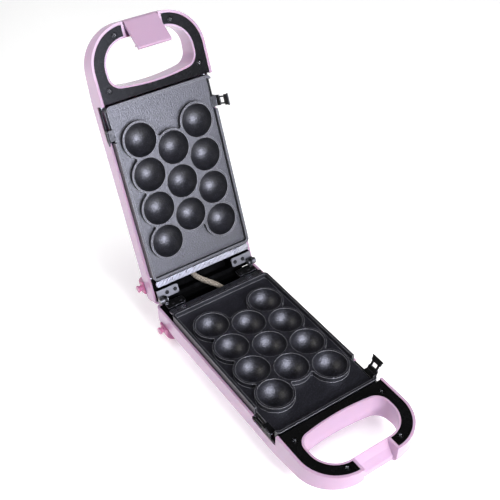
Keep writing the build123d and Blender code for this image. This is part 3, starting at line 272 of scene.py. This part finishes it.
COATING = (0.006, 0.006, 0.008, 1)
COATING_DARK = (0.002, 0.002, 0.003, 1)
COATING_LIGHT = (0.004, 0.004, 0.0055, 1)
COATING_FLECK = (0.030, 0.030, 0.045, 1)
# painted highlight colour for the plate's edges
PAINTED_EDGE_HIGHLIGHT = (0.42, 0.42, 0.46, 1)

STRIP = (0.8, 0.8, 0.83, 1)
STRIP_VALLEY_SHADE = (0.12, 0.12, 0.13, 1)
STRIP_RIB = (0.50, 0.50, 0.54, 1)

YARN = srgb(190, 178, 160)
YARN_DARK = srgb(168, 155, 140)
YARN_LIGHT = srgb(222, 212, 198)
YARN_GAP_SHADE = srgb(52, 44, 38)
WEAVE = "weave"                     # the sleeve's attribute for the height of its strands


def gloss_shell(name, colour, darker):
    """High-gloss moulded plastic, slightly uneven, with shade painted matt black into the hinge
    gap.
    """
    made = Shader(name, colour, roughness=0.2, Coat_Roughness=0.06, Specular_IOR_Level=0.3,
                  Subsurface_Weight=0.12, Subsurface_Scale=4 * MM)
    # Painted shade: near the hinge axis the casing is painted black, matt and without coat, for
    # the shadow in the gap between the halves.
    gap = made.near_hinge(GAP_RADIUS, GAP_HALF_WIDTH)
    flow_marks = made.ramp(made.noise(9.0, detail=3.0), darker, colour)
    made.set("Base Color", made.mix(gap, flow_marks, GAP_PAINTED_SHADE))
    skin_roughness = made.ramp(made.noise(60.0, detail=4.0), 0.17, 0.25)
    made.set("Roughness", made.mix(gap, skin_roughness, grey(1.0)))
    made.set("Coat Weight", made.ramp(gap, 0.35, 0.0, at=(0.0, 1.0)))
    made.rounded(CASING_EDGE)
    made.bump(made.noise(700.0), strength=0.03, height=CASING_GRAIN)
    return made.material


def black_plastic(name, level, roughness, specular=0.4, grain=0.06):
    """Moulded black plastic with a fine grain."""
    made = Shader(name, grey(level, blue=1.08), roughness, Specular_IOR_Level=specular)
    made.set("Base Color", made.ramp(made.noise(30.0, detail=4.0), grey(level * 0.8),
                                     grey(level * 1.25, blue=1.08)))
    made.set("Roughness", made.ramp(made.noise(140.0, detail=5.0),
                                    roughness * 0.85, roughness * 1.25))
    made.rounded(TRIM_EDGE)
    made.bump(made.noise(1100.0), strength=grain, height=FINE_GRAIN)
    return made.material


def non_stick(name):
    """Satin black coating: metallic flecks, a grainy skin, and edges painted brighter as a
    highlight.
    """
    made = Shader(name, COATING, roughness=0.45, IOR=1.75)
    made.rounded(PLATE_EDGE)
    flecks = made.ramp(made.noise(750.0), 0.0, 1.0, at=(0.50, 0.68))
    ground = made.ramp(made.noise(60.0, detail=3.0), COATING_DARK, COATING_LIGHT)
    coat = made.mix(flecks, ground, COATING_FLECK)
    # Painted highlight: the edges of the lands and bowl mouths are painted light grey.
    made.set("Base Color", made.mix(made.edges(0.03, 0.2), coat, PAINTED_EDGE_HIGHLIGHT))
    grain = made.noise(700.0, detail=3.0)
    made.set("Roughness", made.ramp(grain, 0.36, 0.50))
    made.bump(grain, strength=0.8, height=PLATE_GRAIN)
    return made.material


def steel(name, level, roughness, grain):
    """Bare sheet with a fine even grain."""
    made = Shader(name, grey(level, blue=1.02), roughness, Metallic=1.0)
    skin_grain = made.noise(grain, detail=4.0, roughness=0.7)
    made.set("Base Color", made.ramp(skin_grain, grey(level * 0.86), grey(level, blue=1.03)))
    made.set("Roughness", made.ramp(skin_grain, roughness * 0.8, roughness * 1.3))
    made.rounded(SHEET_EDGE)
    made.bump(skin_grain, strength=0.08, height=FINE_GRAIN)
    return made.material


def dull_steel(name, level, bare_edge_and_glint_level, roughness=0.5):
    """Blackened sheet whose edges are rubbed to bare metal and painted lighter still as a
    highlight.
    """
    made = Shader(name, grey(level, blue=1.05), roughness, Metallic=0.9)
    made.rounded(CLIP_EDGE)
    tone = made.ramp(made.noise(300.0, detail=4.0), grey(level * 0.7), grey(level * 1.3))
    # Partly painted highlight: the edges are lightened as bare metal and as glints.
    made.set("Base Color", made.mix(made.edges(0.04, 0.25), tone, grey(bare_edge_and_glint_level, blue=1.04)))
    made.set("Roughness", made.ramp(made.noise(500.0, detail=3.0),
                                    roughness * 0.8, roughness * 1.2))
    made.bump(made.noise(900.0), strength=0.15, height=FINE_GRAIN)
    return made.material


def ribbed_strip(name):
    """Rolled strip with fine ribs across it, with shade painted dark into the valleys between
    them.
    """
    made = Shader(name, STRIP, roughness=0.3, Metallic=1.0)
    rib = made.ribs(RIB_PITCH)
    # Painted shade: the valleys between the ribs are painted dark.
    made.set("Base Color", made.ramp(rib, STRIP_VALLEY_SHADE, STRIP_RIB, at=(0.0, 0.8)))
    made.set("Roughness", made.ramp(made.noise(200.0, detail=3.0), 0.26, 0.36))
    made.rounded(SHEET_EDGE)
    made.bump(rib, strength=0.25, height=RIB_HEIGHT)
    return made.material


def plain(name, colour, roughness, grain, **values):
    """A material with a fine grain in its colour, its roughness and its surface."""
    made = Shader(name, colour, roughness, **values)
    darker = tuple(0.8 * part for part in colour[:3]) + (1,)
    made.set("Base Color", made.ramp(made.noise(grain / 8, detail=4.0), darker, colour))
    made.set("Roughness", made.ramp(made.noise(grain, detail=3.0),
                                    roughness * 0.85, roughness * 1.15))
    made.rounded(SHEET_EDGE)
    made.bump(made.noise(grain * 2), strength=0.12, height=FINE_GRAIN)
    return made.material


def braid(name):
    """Woven glass-fibre yarn: light strands, with shade painted dark between them."""
    made = Shader(name, YARN, roughness=0.75, Sheen_Weight=0.2)
    height = made.node("ShaderNodeAttribute", attribute_name=WEAVE).outputs["Fac"]
    yarn = made.ramp(made.noise(900.0, detail=3.0), YARN_DARK, YARN_LIGHT)
    strands = made.ramp(height, 0.0, 1.0, at=(0.25, 0.6))
    # Painted shade: where the weave lies low between the strands its colour is dark.
    made.set("Base Color", made.mix(strands, YARN_GAP_SHADE, yarn))
    made.set("Roughness", made.ramp(made.noise(1500.0), 0.68, 0.85))
    made.bump(made.noise(3000.0), strength=0.2, height=FINE_GRAIN)
    return made.material


def backdrop(name):
    """Plain white sweep with a paper-fine grain."""
    made = Shader(name, grey(0.9), roughness=0.7, Specular_IOR_Level=0.2,
                  Emission_Color=grey(1.0), Emission_Strength=0.42)
    made.set("Roughness", made.ramp(made.noise(900.0), 0.65, 0.75))
    made.bump(made.noise(2500.0), strength=0.05, height=FINE_GRAIN)
    return made.material


looks = {
    "lilac": gloss_shell("lilac_gloss", LILAC, LILAC_DARK),
    "pink": gloss_shell("pink_gloss", PINK, PINK_DARK),
    "trim": black_plastic("trim_gloss_black", 0.0035, roughness=0.24, specular=0.11, grain=0.6),
    "plate": non_stick("non_stick"),
    "bright": ribbed_strip("ribbed_strip"),
    "pressed": steel("pressed_sheet", 0.26, roughness=0.42, grain=1800.0),
    "leaf": steel("leaf_sheet", 0.17, roughness=0.45, grain=1800.0),
    "clip": dull_steel("clip_sheet", 0.05, bare_edge_and_glint_level=0.42, roughness=0.45),
    "dark_steel": dull_steel("blackened_sheet", 0.02, bare_edge_and_glint_level=0.4),
    "screw": dull_steel("dark_screw", 0.012, bare_edge_and_glint_level=0.85, roughness=0.3),
    "tray": steel("aluminised_sheet", 0.74, roughness=0.4, grain=900.0),
    "sheath": plain("element_sheath", (0.16, 0.15, 0.145, 1), 0.45, grain=900.0, Metallic=0.8),
    "block": black_plastic("hinge_block", 0.0015, roughness=0.75, specular=0.05),
    "rubber": plain("foot_rubber", grey(0.018), 0.8, grain=1500.0),
    "lens": black_plastic("lamp_window", 0.006, roughness=0.07),
    "lamp": plain("lamp_glass", (0.8, 0.3, 0.15, 1), 0.1, grain=500.0, Transmission_Weight=0.5),
    "braid": plain("sleeve_core", YARN, 0.8, grain=2500.0),
    "sensor": steel("sensor_metal", 0.66, roughness=0.38, grain=1800.0),
}

LOOK_OF = {
    "base_casing": "lilac", "lid_casing": "lilac", "latch": "lilac",
    "base_foot_bar": "pink", "lid_foot_bar": "pink", "indicator_bezel": "pink",
    "base_handle_trim": "trim", "lid_handle_trim": "trim", "cord_gland": "trim",
    "base_plate": "plate", "lid_plate": "plate",
    "base_retaining_bar": "bright", "lid_retaining_bar": "bright",
    "base_clip_right": "dark_steel", "base_clip_left": "dark_steel",
    "lid_clip_right": "clip", "lid_clip_left": "clip",
    "base_clip_pins": "dark_steel", "lid_clip_pins": "dark_steel", "latch_pin": "pressed",
    # Painted shade: the base's hinge leaves take the blackened sheet and the lid's the lighter
    # leaf sheet, two copies of one steel that differ only in how light falls on them.
    "base_hinge_leaves": "dark_steel", "lid_hinge_leaves": "leaf",
    "base_hinge_pins": "pressed", "base_hinge_rivets": "dark_steel",
    "lid_hinge_rivets": "dark_steel",
    "base_trim_screws": "screw", "lid_trim_screws": "screw",
    "base_tray_screws": "pressed", "lid_tray_screws": "pressed",
    "base_bar_screws": "bright", "lid_bar_screws": "bright",
    "base_foot_screw": "screw", "lid_foot_screw": "screw",
    "base_heater_tray": "tray", "lid_heater_tray": "tray",
    "base_heating_element": "sheath", "lid_heating_element": "sheath",
    "base_hinge_block": "block", "lid_hinge_block": "block", "terminal_block": "block",
    "base_front_feet": "rubber", "indicator_lens": "lens", "indicator_lamp": "lamp",
    "lead_sleeve": "braid", "thermostat": "sensor", "thermal_fuse": "sensor",
}

for name, node in nodes.items():
    node.data.materials.clear()
    node.data.materials.append(looks[LOOK_OF[name]])


# --- Braided sleeve of the lead between the halves -------------------------------------------
# The route's points are those of the CAD's lead, from the base to the lid.
SLEEVE_ROUTE = ((0.01350, 0.06431, 0.03580), (0.01300, 0.07331, 0.03700),
                (0.00650, 0.08131, 0.04170), (-0.00650, 0.09128, 0.04837),
                (-0.01300, 0.09868, 0.05397), (-0.01350, 0.10322, 0.06183))
ROUTE_STEPS = 48                    # of the curve, between two of its points
SLEEVE_RADIUS = 3.15 * MM           # over the strands
SLEEVE_SIDES = 64
SLEEVE_RINGS = 260
STRANDS = 8                         # that turn each way
STRAND_PITCH = 2.3 * MM             # along the sleeve, from strand to strand
STRAND_HEIGHT = 0.42 * MM
STRAND_FULLNESS = 0.7               # under 1 makes a strand's back broader


def route_line(points):
    """Points along the smooth line that a NURBS spline makes of the route."""
    curve = bpy.data.curves.new("sleeve_route", "CURVE")
    curve.dimensions = "3D"
    curve.resolution_u = ROUTE_STEPS
    spline = curve.splines.new("NURBS")
    spline.points.add(len(points) - 1)
    for control, point in zip(spline.points, points):
        control.co = (*point, 1.0)
    spline.order_u = 3
    spline.use_endpoint_u = True
    carrier = place_object("sleeve_route", curve)
    bpy.context.view_layer.update()
    mesh = bpy.data.meshes.new_from_object(carrier)
    line = [vertex.co.copy() for vertex in mesh.vertices]
    bpy.data.objects.remove(carrier)
    return line


def evenly(line, count):
    """Resamples a line at even distances: each point with the distance to it."""
    reached = [0.0]
    for before, after in zip(line, line[1:]):
        reached.append(reached[-1] + (after - before).length)
    result = []
    step = 0
    for index in range(count):
        wanted = reached[-1] * index / (count - 1)
        while step < len(line) - 2 and reached[step + 1] < wanted:
            step += 1
        share = (wanted - reached[step]) / (reached[step + 1] - reached[step])
        result.append((line[step].lerp(line[step + 1], share), wanted))
    return result


def strand_level(turn, along):
    """Height of the weave, 0 to 1, where strands that turn both ways cross over and under."""
    def back(angle):
        return (0.5 + 0.5 * math.cos(angle)) ** STRAND_FULLNESS
    right = STRANDS * turn + along
    left = STRANDS * turn - along
    over = 0.5 + 0.5 * math.sin(0.5 * (right + left)) * math.sin(0.5 * (right - left))
    return over * back(right) + (1 - over) * back(left)


def add_sleeve():
    """The woven sleeve, which takes the place of its plain core."""
    rings = evenly(route_line(SLEEVE_ROUTE), SLEEVE_RINGS)
    shape = bmesh.new()
    level = shape.verts.layers.float.new(WEAVE)
    across = Vector((0, 0, 1))
    loops = []
    for index, (centre, along) in enumerate(rings):
        before = rings[max(index - 1, 0)][0]
        after = rings[min(index + 1, len(rings) - 1)][0]
        ahead = (after - before).normalized()
        across = (across - ahead * across.dot(ahead)).normalized()
        other = ahead.cross(across)
        loop = []
        for side in range(SLEEVE_SIDES):
            turn = math.tau * side / SLEEVE_SIDES
            height = strand_level(turn, math.tau * along / STRAND_PITCH)
            radius = SLEEVE_RADIUS - STRAND_HEIGHT * (1 - height)
            outward = math.cos(turn) * across + math.sin(turn) * other
            vertex = shape.verts.new(centre + radius * outward)
            vertex[level] = height
            loop.append(vertex)
        loops.append(loop)
    skin(shape, loops)
    for face in shape.faces:
        face.smooth = len(face.verts) == 4
    sleeve = mesh_object("braided_sleeve", shape, braid("woven_sleeve"))
    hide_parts("lead_sleeve")
    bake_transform(sleeve)


add_sleeve()


# --- Lip that closes the sight line between the two hinge blocks ------------------------------
BLOCK_TOP_BELOW_HINGE = 9.7 * MM
LIP_HEIGHT = 1.1 * MM
LIP_THICKNESS = 0.7 * MM
LIP_HALF_LENGTH = 50.5 * MM
LIP_SINK = 0.1 * MM                 # how far its foot is let into the block
LIP_CROWN_STEPS = 8


def add_lip():
    """A thin round-topped rib along the rear edge of the base's hinge block."""
    block_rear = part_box("base_hinge_block")[1][1]
    radius = LIP_THICKNESS / 2
    middle = block_rear - radius
    block_top = HINGE.z - BLOCK_TOP_BELOW_HINGE
    foot = block_top - LIP_SINK
    crown = block_top + LIP_HEIGHT - radius
    outline = [(middle - radius, foot)]
    for step in range(LIP_CROWN_STEPS + 1):
        angle = math.pi * step / LIP_CROWN_STEPS
        outline.append((middle - radius * math.cos(angle), crown + radius * math.sin(angle)))
    outline.append((middle + radius, foot))
    shape = bmesh.new()
    ends = [[shape.verts.new((x, y, z)) for y, z in outline]
            for x in (-LIP_HALF_LENGTH, LIP_HALF_LENGTH)]
    skin(shape, ends)
    lip = mesh_object("hinge_block_lip", shape, looks["block"])
    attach(lip, "base")


add_lip()


# --- Floor -----------------------------------------------------------------------------------
FLOOR_HALF_SIZE = 20.0
FLOOR_RIM_HEIGHT = 2.5              # hides the horizon in low views
FLOOR_CELLS = 4                     # along each side


def add_floor():
    """A wide pale floor whose border is turned up."""
    shape = bmesh.new()
    bmesh.ops.create_grid(shape, x_segments=FLOOR_CELLS, y_segments=FLOOR_CELLS,
                          size=FLOOR_HALF_SIZE)
    border = [edge for edge in shape.edges if edge.is_boundary]
    raised = bmesh.ops.extrude_edge_only(shape, edges=border)["geom"]
    for item in raised:
        if isinstance(item, bmesh.types.BMVert):
            item.co.z += FLOOR_RIM_HEIGHT
    floor = mesh_object("floor", shape, backdrop("pale_floor"))


add_floor()


# --- Lights and world ------------------------------------------------------------------------
WHITE = (1.0, 1.0, 1.0)
WARM = (1.0, 0.96, 0.92)
COOL = (0.9, 0.92, 1.12)
WORLD_STRENGTH = 0.035


def add_light(name, place, target, size, power, tint=WHITE, matt=True, mirrored=True):
    """A softbox of so many watts. It may skip matt surfaces or not be mirrored in glossy ones."""
    data = bpy.data.lights.new(name, "AREA")
    data.shape = "RECTANGLE"
    data.size, data.size_y = size
    data.energy = power
    data.color = tint
    light = place_object(name, data)
    light.location = place
    light.rotation_euler = (Vector(target) - Vector(place)).to_track_quat("-Z", "Y").to_euler()
    light.visible_camera = False
    light.visible_diffuse = matt
    light.visible_glossy = mirrored


def add_world():
    """An even white surround that fills the shadows a little."""
    world = bpy.data.worlds.new("studio")
    world.use_nodes = True
    background = world.node_tree.nodes["Background"]
    background.inputs["Color"].default_value = grey(1.0)
    background.inputs["Strength"].default_value = WORLD_STRENGTH
    scene.world = world


add_light("top_softbox", place=(0.7, -0.9, 3.1), target=(0.2, 0.1, 0), size=(2.8, 2.6),
          power=80, mirrored=False)
add_light("lid_side_fill", place=(-0.5, 0.5, 0.6), target=(-0.07, 0.17, 0.25), size=(0.4, 0.4),
          power=3, mirrored=False)
add_light("key_softbox", place=(0.0, -1.0, 0.53), target=(0, 0.05, 0.1), size=(0.2, 0.2),
          power=9, mirrored=False)
add_light("key_glow", place=(0.0, -1.05, 0.55), target=(0, 0.05, 0.1), size=(0.6, 0.6),
          power=28, tint=COOL, matt=False)
add_light("lid_glow", place=(0.85, -1.75, 1.0), target=(0, 0.1, 0.2), size=(0.4, 0.4),
          power=5, tint=COOL, matt=False)
add_light("left_glow", place=(-1.1, 0.15, 0.85), target=(0, 0, 0), size=(0.4, 0.4),
          power=3.2, tint=WARM, matt=False)
add_world()
scene.view_settings.view_transform = "Standard"
